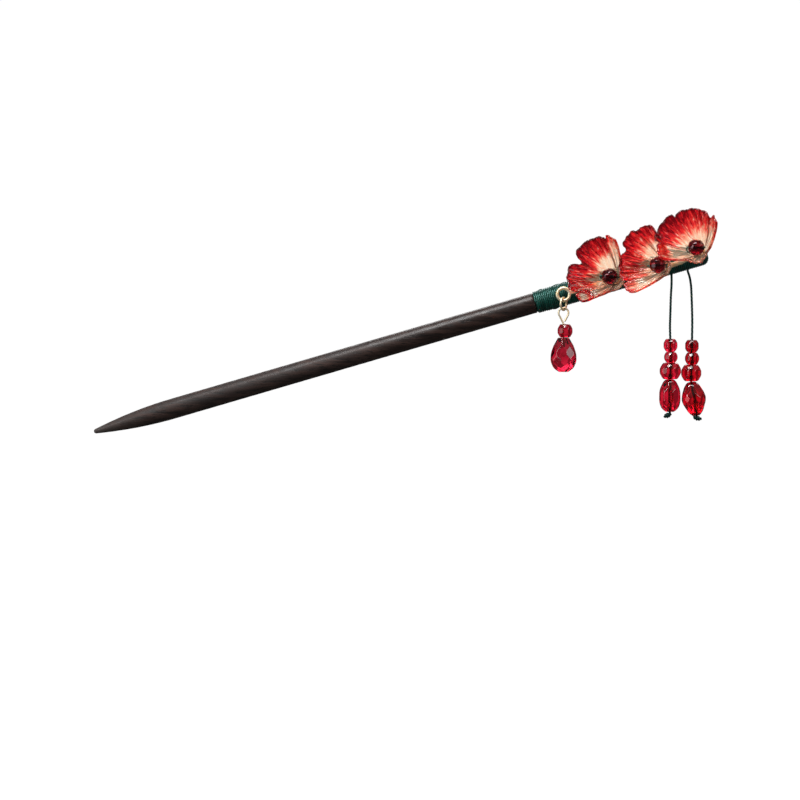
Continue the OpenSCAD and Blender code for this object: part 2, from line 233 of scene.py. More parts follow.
# Smudges from handling, on wood, brass and glass alike, and hairline scratches on the brass
handling, given, gives = effect_group(
    "handling marks", {"Smudge scale": 250.0, "Scratch scale": 900.0}, ["Smudge", "Scratch"])
smudge = noise(handling, given["Vector"], given["Smudge scale"], 4.0, 0.6)
handling.links.new(span(handling, smudge, 0.38, 0.68), gives["Smudge"])
scratch = noise(handling, given["Vector"], given["Scratch scale"], 3.0, 0.7, 0.4)
handling.links.new(span(handling, scratch, 0.56, 0.72), gives["Scratch"])

# The turned outline from the tip to the bound end, and a slight unevenness left by the turning
nose = np.linspace(0, np.pi / 2, 10, endpoint=False)[1:]
t = np.linspace(0, 1, 60, endpoint=False)
bed = STICK_LENGTH - BOUND_LENGTH - 2 * GAP
core_end = STICK_LENGTH - BOUND_WALL - WOOD_CORNER
corner = np.linspace(0, np.pi / 2, 8)[1:-1]
along = np.concatenate([
    NOSE_R * (1 - np.cos(nose)), NOSE_R + (TAPER_LENGTH - NOSE_R) * t,
    np.linspace(TAPER_LENGTH, bed, 150), np.linspace(bed + GAP, core_end, 12),
    core_end - GAP + WOOD_CORNER * np.sin(corner)])[:, None]
radius = np.concatenate([
    NOSE_R * np.sin(nose), NOSE_R + (SHAFT_R - NOSE_R) * (1 - (1 - t) ** 2),
    np.full(150, SHAFT_R), np.full(12, CORE_R),
    CORE_R - WOOD_CORNER + WOOD_CORNER * np.cos(corner)])[:, None]
around = circle(64)
wobble = TURNING_WAVE * np.sin(along * 0.31 + 1.3) * np.cos(around - 0.4)
wobble = wobble + TURNING_LOBES * np.sin(along * 0.87) * np.cos(2 * around + 0.9)
worn = WORN_WAVE * np.sin(along * 2.3 + 2 * np.sin(along * 0.37)) * (along > 3)
off = (WORN_OFF - np.abs(wobble) - worn) * np.clip(radius - NOSE_R, 0, 1) * (along < bed)
radius = radius - off
shaft = shell("oiled_wood_stick", stick_to_frame(around_stick(along, radius, around)))

wood, tree, shader = material("dark oiled wood", IOR=1.46, Coat_Weight=0.08, Coat_Roughness=0.2,
                              Specular_IOR_Level=0.45)
place = coordinates(tree)


def along_grain(scale):
    """The stick's coordinates turned by its lean and stretched along the grain."""
    return add_node(tree, "Mapping", {
        "Vector": place, "Rotation": (0, LEAN, 0), "Scale": scale}).outputs["Vector"]


streaks = noise(tree, along_grain((60, 900, 900)), 1.0, 6.0, 0.62, 0.35)
bands = noise(tree, along_grain((14, 190, 190)), 1.0, 3.0, 0.5, 0.8)
pores = span(tree, noise(tree, along_grain((340, 2600, 2600)), 1.0), 0.56, 0.66)
marks = use_group(tree, handling, {"Vector": place, "Smudge scale": 210.0})
grain = blend(tree, span(tree, streaks, 0.36, 0.66), WOOD_DARK, WOOD_BROWN)
grain = blend(tree, span(tree, bands, 0.42, 0.62, 0.0, 0.45), grain, WOOD_BAND)
grain = blend(tree, product(tree, pores, 0.75), grain, WOOD_PORE)
from_grip = add_node(tree, "SeparateXYZ", {"Vector": along_grain((1, 1, 1))}).outputs["X"]
tip_wear = span(tree, from_grip, (DULL_TIP - GRIP_FROM_TIP) * MM, -GRIP_FROM_TIP * MM)
tip_wear = product(tree, tip_wear, span(tree, marks["Smudge"], 0.1, 0.9, 0.25, 0.85))
less_polished = span(tree, from_grip, 0.045, -0.02, 0.0, 0.22)
polish = added(tree, span(tree, streaks, 0.3, 0.7, 0.26, 0.44), product(tree, marks["Smudge"], 0.1),
               product(tree, tip_wear, 0.2), less_polished)
relief = arithmetic(tree, "SUBTRACT", span(tree, streaks, 0.3, 0.7), product(tree, pores, 0.8))
feed(tree, shader, {"Base Color": blend(tree, tip_wear, grain, WOOD_DUSTY), "Roughness": polish,
                    "Normal": bumps(tree, relief, 0.00004, 0.55)})
shaft.data.materials.append(wood)
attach(shaft, "stick")
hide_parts("wood_shaft")


# The thread binding
# Silky green thread wound turn by turn round the head end, over a first layer, and closed over
# the round end in a flat spiral. A few strands cross where the winding starts.
THREAD_R = 0.28
PITCH = 0.555
FIRST_TURNS = 3.0
FIRST_SUNK = 0.1
BOUND_R = CORE_R + GAP + BOUND_WALL
END_CORNER = WOOD_CORNER + GAP + BOUND_WALL
TURN_STEPS = 44
SPIRAL_HOLE = 0.12
UNEVEN = 0.014
WANDER = 0.05
SLEEVE_UNDER = 0.25
SLEEVE_EDGE_UNDER = [0.44, 0.4]
SLEEVE_CORNER = 0.1
STRAND_R = 0.16
STRAND_SUNK = 0.35
# The darkest green is painted shade between the binding thread's fibres
GREEN_FIBRE_SHADE = (0.0008, 0.0055, 0.0042, 1)
GREEN_MID = (0.0025, 0.034, 0.024, 1)
GREEN_BRIGHT = (0.008, 0.12, 0.088, 1)
# Each crossing strand: where it starts from the tip, its length along the stick, the direction
# it starts in and how far it goes round, in degrees
STRANDS = [(134.2, 6.5, 60, 150), (135.5, 5.0, 200, 120), (137.5, 8.0, -20, 170),
           (134.0, 9.5, 130, 190), (136.0, 7.0, 20, 110)]


def tube(name, path, radius, side, to_place, sides=10, plies=0, lay=1.0, ply_depth=0.0, turns_uv=1.0):
    """A closed tube round a path, carried to its place by a function. Each ring lies across the
    path's heading, in the plane of the side vector. With plies, its radius has a bulge for each
    ply, turned along the path by lay turns in all, as in twisted thread."""
    heading = np.gradient(path, axis=0)
    heading /= np.linalg.norm(heading, axis=1, keepdims=True)
    across = np.cross(heading, np.broadcast_to(side, path.shape))
    across /= np.linalg.norm(across, axis=1, keepdims=True)
    up = np.cross(across, heading)
    angle = circle(sides)[None, :]
    share = np.linspace(0, 1, len(path))[:, None]
    size = radius * np.ones((len(path), sides))
    if plies:
        bulge = np.abs(np.cos(plies / 2 * angle - np.pi * lay * plies * share))
        size = size * (1 - ply_depth * (1 - bulge) ** 1.5)
    wide, high = (size * np.cos(angle))[..., None], (size * np.sin(angle))[..., None]
    rings = path[:, None] + across[:, None] * wide + up[:, None] * high
    return shell(name, to_place(rings), uv_scale=(turns_uv, 1.0))


def ripple(length, waves, seed):
    """A smooth irregular wave from -1 to 1 along the given lengths: a sum of sines."""
    draw = np.random.default_rng(seed)
    rates = waves * draw.uniform(0.5, 1.6, 6)
    phases = draw.uniform(0, 2 * np.pi, 6)
    return np.sin(length[:, None] * rates + phases).mean(1) * 1.6


def join(parts):
    """The parts as one object, with the name of the first."""
    with bpy.context.temp_override(active_object=parts[0], selected_editable_objects=parts):
        bpy.ops.object.join()
    return parts[0]


# The winding's outline: along the side, round the corner and in over the flat end
side_start = STICK_LENGTH - BOUND_LENGTH + THREAD_R
side_end = STICK_LENGTH - END_CORNER
corner_r = END_CORNER - THREAD_R
flat_r = BOUND_R - END_CORNER
lengths = np.array([side_end - side_start, corner_r * np.pi / 2, flat_r - SPIRAL_HOLE])
wound = lengths.sum()
run = np.linspace(0, wound, int(wound / PITCH * TURN_STEPS))
bend = np.clip((run - lengths[0]) / corner_r, 0, np.pi / 2)
inward = np.clip(run - lengths[0] - lengths[1], 0, None)
wind_s = side_start + np.clip(run, 0, lengths[0]) + corner_r * np.sin(bend)
wind_r = flat_r + corner_r * np.cos(bend) - inward
first = np.clip((side_start + FIRST_TURNS - wind_s) / 0.5, 0, 1)
wind_r = wind_r - FIRST_SUNK * first - UNEVEN * (1 + ripple(run, 9.0, 3)) * (run < lengths[0])
wind_s = wind_s + WANDER * ripple(run, 7.0, 4) * np.sin(np.pi * np.clip(run / lengths[0], 0, 1))
turn = 2 * np.pi * run / PITCH
outward = around_stick(np.sin(bend), np.cos(bend), turn)
winding = tube("wound_green_thread", around_stick(wind_s, wind_r, turn), THREAD_R, outward,
               stick_to_frame, sides=7, turns_uv=wound / PITCH)
sleeve_s = np.concatenate([np.linspace(side_start - 2 * GAP, side_end, 8),
                           side_end + (corner_r - SLEEVE_CORNER) * np.sin(corner)])
sleeve_r = np.concatenate([BOUND_R - np.array(SLEEVE_EDGE_UNDER + [SLEEVE_UNDER] * 6),
                           flat_r + (corner_r - SLEEVE_CORNER) * np.cos(corner)])
rings = stick_to_frame(around_stick(sleeve_s[:, None], sleeve_r[:, None], around))
layers = [winding, shell("first_thread_layer", rings, uv_scale=(BOUND_LENGTH / PITCH, 1.0))]
share = np.linspace(0, 1, 60)
for number, (start, length, from_angle, sweep) in enumerate(STRANDS):
    angle = np.radians(from_angle + sweep * share)
    lift = BOUND_R - GAP - 0.12 * np.clip(1 - share * 3, 0, 1) - STRAND_SUNK * (2 * share - 1) ** 8
    path = around_stick(start + length * share, lift, angle)
    layers.append(tube(f"crossing_strand_{number + 1}", path, STRAND_R, around_stick(0, 1, angle),
                       stick_to_frame, sides=8, turns_uv=length * 2))
winding = join(layers)

# Fibres that run along a thread, and lint on it
fibres, given, gives = effect_group(
    "thread fibres", {"Length scale": 3.0, "Round scale": 9.0}, ["Fibre", "Lint"])
stretch = add_node(fibres, "CombineXYZ", {
    "X": given["Length scale"], "Y": given["Round scale"], "Z": 1.0})
laid = add_node(fibres, "VectorMath", {0: given["Vector"], 1: stretch.outputs[0]},
                operation="MULTIPLY").outputs[0]
fibres.links.new(span(fibres, noise(fibres, laid, 1.0, 4.0, 0.65, 0.5), 0.3, 0.7), gives["Fibre"])
fibres.links.new(span(fibres, noise(fibres, laid, 0.31), 0.4, 0.65), gives["Lint"])


def thread(name, colors, lint, rough, scales, raised, **constants):
    """A green thread: colours of the hollows between its fibres, painted darker as painted shade, of its
    raised fibres and of its lint, share of the lint, roughness between and on the fibres, the fibres' scales
    and how far they are raised."""
    made, tree, shader = material(name, IOR=1.5, Sheen_Weight=0.06, Sheen_Roughness=0.3, **constants)
    strand = use_group(tree, fibres, {"Vector": coordinates(tree, "UV"), "Length scale": scales[0],
                                      "Round scale": scales[1]})
    # Painted shade: darker where the fibres' relief is low, between the fibres
    color = blend(tree, strand["Fibre"], colors[0], colors[1])
    color = blend(tree, product(tree, strand["Lint"], lint), color, colors[2])
    feed(tree, shader, {"Base Color": color, "Roughness": span(tree, strand["Fibre"], 0.0, 1.0, *rough),
                        "Normal": bumps(tree, strand["Fibre"], 0.00003, raised)})
    return made


silk = thread("green binding thread", (GREEN_FIBRE_SHADE, GREEN_MID, GREEN_BRIGHT), 0.4, (0.4, 0.26), (11.0, 7.0),
              0.6, Sheen_Tint=(0.2, 0.9, 0.7, 1), Specular_IOR_Level=0.9, Specular_Tint=(0.45, 1.0, 0.9, 1))
winding.data.materials.append(silk)
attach(winding, "stick")
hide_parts("thread_binding")


# The brass branch
# A flat brass strip bent along the front of the binding, with the eye ring soldered to its end
# and a small washer soldered on for each flower to stand on. It is plated in pale gold.
STRIP_W = 1.4
STRIP_T = 0.8
STRIP_OUT = BOUND_R + GAP + STRIP_T / 2
STRIP_STEPS = 220
HAMMERED = 0.02
EYE_D = 4.5
EYE_WIRE = 0.95
EYE_OUT = 5.0
EYE_FROM_HEAD = 43.4
SEAT_D = 2.8
SEAT_BORE = 1.9
SEAT_T = 0.6
SEAT_SUNK = 0.3
SEAT_EDGE = 0.45
PAD_EDGE = 0.4
STRIP_EDGE = 0.5
GOLD = (1.0, 0.80, 0.48, 1)
GOLD_PALE = (1.0, 0.92, 0.72, 1)
GOLD_DULL = (0.56, 0.36, 0.15, 1)
# The strip's middle line: distance from the bound end, lift off the binding, shift across
BRANCH = np.array([
    [41.6, EYE_OUT - STRIP_OUT, 0], [40.6, 1.0, 0], [39.2, 0.25, 0], [38.2, 0, 0], [27.3, 0, -0.3],
    [19.0, 0, -0.6], [16.6, 0.3, -0.7], [15.2, 1.3, -0.75], [14.2, 2.7, -0.8], [13.2, 3.2, -0.8],
    [10.5, 3.2, -0.7], [8.0, 3.3, -0.5], [5.5, 3.7, 0], [3.8, 4.3, 0.3], [1.2, 4.3, 0.4]])
# Where each flower stands: distance from the bound end, lift, shift across, direction and
# amount of its lean, and direction of its dark bead's bore
FLOWERS = [(27.5, 0.25, -0.3, 139.7, 37, 29), (12.6, 3.2, -0.8, 153.7, 48, 20),
           (1.9, 4.3, 0.4, 123.2, 35, 62)]


def turned(points, axis, degrees):
    """Points turned about one of the frame's axes, 0, 1 or 2, by the right-hand rule."""
    a, b = [(1, 2), (2, 0), (0, 1)][axis]
    angle = np.radians(degrees)
    moved = points.copy()
    moved[..., a] = points[..., a] * np.cos(angle) - points[..., b] * np.sin(angle)
    moved[..., b] = points[..., a] * np.sin(angle) + points[..., b] * np.cos(angle)
    return moved


def flower_to_frame(points, flower):
    """Points from a flower's own frame, its hub's underside at zero and its cup opening along z."""
    from_head, lift, across, direction, lean, _ = flower
    tilt = np.radians(lean)
    out = STRIP_OUT + STRIP_T / 2 + lift - SEAT_SUNK
    out += (SEAT_T + GAP) * np.cos(tilt) + SEAT_D / 2 * np.sin(tilt)
    leaned = turned(turned(turned(points, 1, lean), 2, direction), 0, 90)
    return stick_to_frame(leaned + np.array([STICK_LENGTH - from_head, -out, across]))


def rounded(value, power):
    """A sine or cosine drawn towards its ends, which gives a flat side between rounded edges."""
    return np.sign(value) * np.abs(value) ** power


def torus(name, ring_r, wire_r, place, steps=96, sides=24, seam=0.0):
    """A ring of round wire in the x-y plane, carried to its place by a function. A seam narrows
    the wire where the ring's two ends meet."""
    a = circle(steps)[:, None]
    b = circle(sides)[None, :]
    wire = wire_r * (1 - seam * np.exp(-((a - np.pi) / 0.035) ** 2))
    return shell(name, place(around_z(ring_r + wire * np.cos(b), a, wire * np.sin(b))), looped=True)


def smooth_line(rows, steps):
    """A smooth line through rows of numbers: each is joined to the next by a Catmull-Rom curve."""
    padded = np.concatenate([2 * rows[:1] - rows[1:2], rows, 2 * rows[-1:] - rows[-2:-1]])
    t = np.linspace(0, len(rows) - 1, steps)
    i = np.minimum(t.astype(int), len(rows) - 2)
    f = (t - i)[:, None]
    a, b, c, d = (padded[i + n] for n in range(4))
    square = (2 * a - 5 * b + 4 * c - d) * f ** 2
    return 0.5 * (2 * b + (c - a) * f + square + (3 * (b - c) + d - a) * f ** 3)


def washer(name, flower):
    """A flat ring with rounded edges and its bore, under a flower's hub."""
    a = circle(48)[:, None]
    b = circle(24)[None, :]
    r = (SEAT_D + SEAT_BORE) / 4 + rounded(np.cos(b), SEAT_EDGE) * (SEAT_D - SEAT_BORE) / 4
    high = (rounded(np.sin(b), SEAT_EDGE) - 1) * SEAT_T / 2 - GAP
    return shell(name, flower_to_frame(around_z(r, a, high), flower), looped=True)


def pad(name, flower):
    """The strip's round pad under a washer."""
    from_head, lift, across = flower[:3]
    b = np.linspace(0.04, np.pi - 0.04, 24)[:, None]
    a = circle(48)[None, :]
    wide = rounded(np.sin(b), PAD_EDGE) * SEAT_D / 2
    high = rounded(np.cos(b), PAD_EDGE) * STRIP_T / 2
    points = np.stack([wide * np.cos(a), high - STRIP_OUT - lift + 0 * a, wide * np.sin(a)], -1)
    return shell(name, stick_to_frame(points + np.array([STICK_LENGTH - from_head, 0, across])))


strip_line = smooth_line(BRANCH, STRIP_STEPS)
strip_path = np.array([STICK_LENGTH, -STRIP_OUT, 0]) + strip_line * [-1, -1, 1]
front = np.cross(np.gradient(strip_path, axis=0), (0, 0, 1))
front /= np.linalg.norm(front, axis=1, keepdims=True)
a = circle(28)
wide = rounded(np.cos(a), STRIP_EDGE) * STRIP_W / 2
thick = rounded(np.sin(a), STRIP_EDGE) * STRIP_T / 2
station = np.arange(STRIP_STEPS)
ends = np.clip(np.minimum(station, STRIP_STEPS - 1 - station) / 4, 0, 1)[:, None]
ends = np.sqrt(1 - (1 - ends) ** 2) * 0.9 + 0.1
hammered = 1 + HAMMERED * ripple(strip_path[:, 0], 1.7, 11)[:, None]
rings = strip_path[:, None] + front[:, None] * (ends * thick)[..., None]
rings = rings + np.array([0, 0, 1.0]) * (ends * wide * hammered)[..., None]
branch = [shell("gilded_brass_branch", stick_to_frame(rings), uv_scale=(40.0, 1.0))]
eye_centre = np.array([STICK_LENGTH - EYE_FROM_HEAD, -EYE_OUT, 0])
branch.append(torus("eye_ring", (EYE_D - EYE_WIRE) / 2, EYE_WIRE / 2,
                    lambda p: stick_to_frame(turned(p, 0, 90) + eye_centre)))
for number, flower in enumerate(FLOWERS):
    branch.append(washer(f"seat_{number + 1}", flower))
    branch.append(pad(f"pad_{number + 1}", flower))
branch = join(branch)

gilding, tree, shader = material("pale gold plating", Metallic=0.7, IOR=1.5,
                                 Specular_Tint=(1.0, 0.9, 0.7, 1))
place = coordinates(tree)
marks = use_group(tree, handling, {"Vector": place, "Smudge scale": 420.0, "Scratch scale": 2600.0})
color = blend(tree, span(tree, noise(tree, place, 650.0, 3.0), 0.4, 0.62), GOLD, GOLD_PALE)
color = blend(tree, product(tree, marks["Scratch"], 0.35), color, GOLD_DULL)
feed(tree, shader, {"Base Color": color, "Roughness": span(tree, marks["Smudge"], 0.0, 1.0, 0.36, 0.48),
                    "Normal": bumps(tree, marks["Smudge"], 0.00002, 0.4)})
branch.data.materials.append(gilding)
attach(branch, "stick")
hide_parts("brass_branch")


# The glass flowers
# Three cups of pressed glass, each with four petals and a short one in front. The glass is peach
# at the hub and dyed crimson to the rim, and pressed with fine ribs. Each hub has a hole for its
# tie and stands on its washer.
PETAL_REACH = 13.0
GLASS_WALL = 0.9
RIM_WALL = 0.7
HUB_R = 1.0
FLARE_POWER = 0.9
RISE_POWER = 1.35
PETAL_BULGE = 0.5
PETAL_FOLD = 0.3
CORNER_ROUND = 0.06
CORNER_CUT = 0.07
SCALLOP = 0.008
COARSE_RIB = 0.12
COARSE_WIDTH = 16.0
FINE_RIB = 0.11
RIBS_PER_DEGREE = 0.125
LOBE_R = 1.9
LOBE_RISE = 0.5
NOTCH_FROM = 0.93
RIB_WAVER = 0.9
RIM_RIBS = 2.7
FOLD_HEIGHT = 0.18
FOLD_PITCH = 1.45
FOLDS_END = 5.0
LINES_PER_DEGREE = 1.15
STEPS_OUT = 46
DYE_EVEN = 0.62
DYE_TO_SIDE = 0.4
DYE_SIDE = 115
DYE_FULL = 0.95
HEART_TINT = 0.07
# Each petal: direction of its two edges, share of the full reach, half-angle of the cup there,
# share of the reach left in the gap after it, where the dye begins on its way out, and how
# strong it is at the rim
PETALS = [
    [(-101, -76, 1.05, 47, 0.98, 0.7, 0.4), (-73, -6, 1.04, 47, 0.8, 0.42, 1.05),
     (3, 57, 1.05, 47, 0.86, 0.34, 1.1), (61, 86, 0.98, 47, 0.26, 0.5, 0.7),
     (145, 190, 0.3, 47, 0.1, 0.6, 0.2)],
    [(-84, -54, 0.98, 58, 0.98, 0.5, 0.9), (-51, -19, 1.05, 54, 0.91, 0.48, 0.85),
     (-12, 45, 0.99, 40, 0.88, 0.38, 0.85), (49, 78, 1.0, 44, 0.16, 0.7, 0.7),
     (150, 200, 0.1, 50, 0.05, 0.6, 0.2)],
    [(-117, -93, 0.99, 47, 0.88, 0.5, 0.85), (-90, -19, 0.97, 47, 0.92, 0.36, 1.0),
     (-16, 37, 1.04, 47, 0.92, 0.35, 1.1), (40, 74, 0.98, 47, 0.3, 0.62, 0.65),
     (108, 152, 0.3, 47, 0.1, 0.5, 0.4)]]
# The lobe that curls up at a flower's lower side, with folds beside it: its direction and its
# share of the reach. Only the first flower has one; the others' are out of reach.
LOBES = [(73.5, 0.86), (0, 9), (0, 9)]
DYES = [(0.0, (1.0, 0.76, 0.56, 1)), (0.09, (1.0, 0.56, 0.36, 1)), (0.22, (1.0, 0.36, 0.23, 1)),
        (0.4, (0.97, 0.03, 0.022, 1)), (0.64, (0.68, 0.010, 0.018, 1)), (0.92, (0.16, 0.001, 0.004, 1))]
# The colour of the painted shade in the creases between petals, in the lobe's hollow and in the folds'
# troughs
CREASE_SHADE_BROWN = (0.12, 0.014, 0.010, 1)
# The colour of the painted highlights on the glint spots in the hearts
PAINTED_GLINT_CREAM = (1.0, 0.92, 0.76, 1)


def flower_lines(petals):
    """The directions in which the wall is drawn, as columns: direction, share of the reach,
    half-angle, place across the petal from -1 to 1, on a petal 1 or in a gap 0, depth of the
    gap, dye's start and strength."""
    columns = []
    for number, petal in enumerate(petals):
        a, b, reach, cup, floor, dye, strength = petal
        last = number + 1 == len(petals)
        after = petals[0 if last else number + 1]
        w = np.linspace(-1, 1, max(18, int((b - a) * LINES_PER_DEGREE)))
        way = a + (b - a) * (w + 1) / 2
        notch = np.clip((NOTCH_FROM - np.where(w > 0, floor, petals[number - 1][4])) * 14, 0, 1)
        edge = 1 - notch * (CORNER_ROUND * w ** 4 + CORNER_CUT * w ** 10)
        edge = edge + SCALLOP * np.cos(np.radians(540) * w) + 0.004 * ripple(way, 0.9, 21)
        columns.append([way, reach * edge, cup, w, 1, 0, dye, strength])
        wide = after[0] + 360 * last - b
        t = np.linspace(0, 1, max(9, int(wide * LINES_PER_DEGREE)) + 2)[1:-1]
        _, _, level, cup, _, dye, strength = (p + (q - p) * t for p, q in zip(petal, after))
        level = level * (1 - notch[-1] * (CORNER_ROUND + CORNER_CUT) - SCALLOP)
        deep = np.sin(np.pi * t) ** 0.5
        share = level * (1 - deep) + np.minimum(floor, level) * deep
        columns.append([b + wide * t, share, cup, 1 - 2 * t, 0, 1 - floor, dye, strength])
    return np.concatenate([np.stack(np.broadcast_arrays(*column)) for column in columns], 1)


def from_lobe(direction, far, lobe):
    """The distance from the middle of a flower's curled lobe along the wall, and the folds
    beside the lobe, towards the wide petal: their strength from 0 to 1, and their wave."""
    inward = PETAL_REACH * (lobe[1] - far)
    beside = np.radians(lobe[0] - direction) * PETAL_REACH * far
    away = np.hypot(beside, inward)
    strength = np.clip((away - LOBE_R) / 0.4, 0, 1) * np.clip((FOLDS_END - away) / 1.2, 0, 1)
    strength = strength * np.clip(0.85 * beside + 0.5 * inward + 0.6, 0, 1)
    return away, strength, np.sin(2 * np.pi * (away - LOBE_R) / FOLD_PITCH)


def petal_wall(lines, u, side, rim, lobe):
    """Points of a flower's wall. u runs from the hub to the rim, side is 0 inside the cup and 1
    outside, and rim pushes the rounded lip outwards. The bowl's radius grows with the distance
    to the flare power and its height to the rise power; each petal bulges, folds and is ribbed,
    and the lobe rises. The wall's thickness and relief stand square to the bowl's slope."""
    direction, share, cup, w, on_petal = lines[:5]
    far = share * u + rim
    cup = np.radians(cup)
    spread = PETAL_REACH * np.sin(cup) - HUB_R
    rise = PETAL_REACH * np.cos(cup)
    steep = RISE_POWER * rise * np.maximum(far, 1e-4) ** (RISE_POWER - FLARE_POWER)
    slope = np.arctan2(FLARE_POWER * spread, steep)
    rib_angle = 2 * np.pi * RIBS_PER_DEGREE * (
        direction + RIB_WAVER * np.sin(far * 9 + direction * 0.11))
    fine = np.cos(rib_angle + 1.5 * side)
    fine = fine + 0.65 * np.clip((u - 0.6) * 4, 0, 1) * np.cos(RIM_RIBS * rib_angle + 0.8)
    fine = FINE_RIB * fine * np.clip((far - 0.45) * 2.0, 0, 1) * (1 - 0.8 * np.clip((u - 0.8) * 6, 0, 1))
    lift = PETAL_BULGE * share * on_petal * (1 - w ** 2) * np.sin(np.pi * u) + PETAL_FOLD * w * far * u
    lift = lift + COARSE_RIB * np.cos(2 * np.pi * direction / COARSE_WIDTH) * far + fine
    away, fold, wave = from_lobe(direction, far, lobe)
    lift = lift + FOLD_HEIGHT * fold * wave + LOBE_RISE * np.exp(-(away / LOBE_R) ** 2)
    out = lift + side * (GLASS_WALL + (RIM_WALL - GLASS_WALL) * u)
    begun = u > 0
    r = HUB_R + spread * far ** FLARE_POWER + np.where(begun, out * np.cos(slope), 0)
    z = GLASS_WALL + rise * far ** RISE_POWER - np.where(begun, out * np.sin(slope), side * GLASS_WALL)
    return around_z(r, np.radians(direction), z)


out_steps = (np.arange(STEPS_OUT + 1) / STEPS_OUT) ** 1.1
flat = np.zeros(STEPS_OUT + 1)
lip = np.linspace(0, np.pi, 9)[1:-1]
step_u = np.concatenate([out_steps, 1 + 0 * lip, out_steps[::-1]])[:, None]
step_side = np.concatenate([flat + 1, 0.5 + 0.5 * np.cos(lip), flat])[:, None]
step_rim = np.concatenate([flat, RIM_WALL / 2 * np.sin(lip) / PETAL_REACH, flat])[:, None]

# The dye is deepest at the rims, with streaks and hairs along the ribs. Cream glint spots in the hearts are
# painted highlights; the creases between petals and the curled lobe's hollow are darkened with painted brown
# shade; and the folds beside the lobe are painted lighter on their crests, as painted highlights, and darker
# in their troughs, as painted shade.
pressed, tree, shader = material("dyed pressed glass", IOR=1.5, Transmission_Weight=0.82, Metallic=0.0,
                                 Specular_IOR_Level=0.5)
place = coordinates(tree)


def ramp(tree, factor, stops):
    """A colour ramp with the stops given as position and colour."""
    node = add_node(tree, "ValToRGB", {"Fac": factor})
    elements = node.color_ramp.elements
    while len(elements) < len(stops):
        elements.new(0.5)
    for element, (position, color) in zip(elements, stops):
        element.position = position
        element.color = color
    return node.outputs["Color"]


def attribute(name, output="Fac"):
    """A value stored on the flowers' meshes."""
    return add_node(tree, "Attribute", attribute_name=name).outputs[output]


def petal_noise(along, out, detail, rough):
    """Noise drawn out along the petals: cells in a full turn, and from hub to rim."""
    laid = add_node(tree, "VectorMath", {0: petal_uv, 1: (along, out, 1.0)}, operation="MULTIPLY")
    return noise(tree, laid.outputs[0], 1.0, detail, rough, 0.4)


dye, crease_shade, fold_light_and_shade = attribute("dye"), attribute("crease_shade"), attribute("fold_light_and_shade")
petal_uv = attribute("petal", "Vector")
streaks = petal_noise(58.0, 4.5, 2.0, 0.5)
hairs = petal_noise(150.0, 7.0, 2.0, 0.6)
# Spots where cream highlights are painted into the hearts; they also raise the bumps a little
painted_glints = span(tree, petal_noise(80.0, 5.0, 1.0, 0.5), 0.56, 0.64)
cloud = noise(tree, place, 230.0, 3.0)
streaking = product(tree, span(tree, streaks, 0.34, 0.66, -0.2, 0.26), span(tree, dye, 0.05, 0.5, 0.45, 1.0))
hatching = product(tree, span(tree, hairs, 0.34, 0.66, -0.34, 0.34), span(tree, dye, 0.1, 0.7, 0.12, 1.0))
# The folds beside the lobe: their crests are painted lighter, as painted highlights, and their troughs
# darker, as painted shade
depth = added(tree, dye, streaking, hatching, span(tree, cloud, 0.3, 0.7, -0.1, 0.1),
              product(tree, fold_light_and_shade, -0.7))
# Painted shade: brown darkening in the creases between petals, in the lobe's hollow and in the folds'
# troughs
shade = arithmetic(tree, "MAXIMUM", product(tree, crease_shade, 0.7), product(tree, fold_light_and_shade, -0.9))
color = blend(tree, shade, ramp(tree, product(tree, depth, 0.8), DYES), CREASE_SHADE_BROWN)
# Painted highlights: cream glint spots where the dye is light
color = blend(tree, product(tree, painted_glints, span(tree, depth, 0.1, 0.7, 0.9, 0.0)), color, PAINTED_GLINT_CREAM)
relief = added(tree, product(tree, streaks, 2.0), product(tree, painted_glints, 0.5))
marks = use_group(tree, handling, {"Vector": place, "Smudge scale": 300.0})
feed(tree, shader, {"Base Color": color, "Roughness": span(tree, marks["Smudge"], 0.0, 1.0, 0.03, 0.11),
                    "Normal": bumps(tree, relief, 0.0001, span(tree, dye, 0.15, 0.6, 0.12, 0.9))})

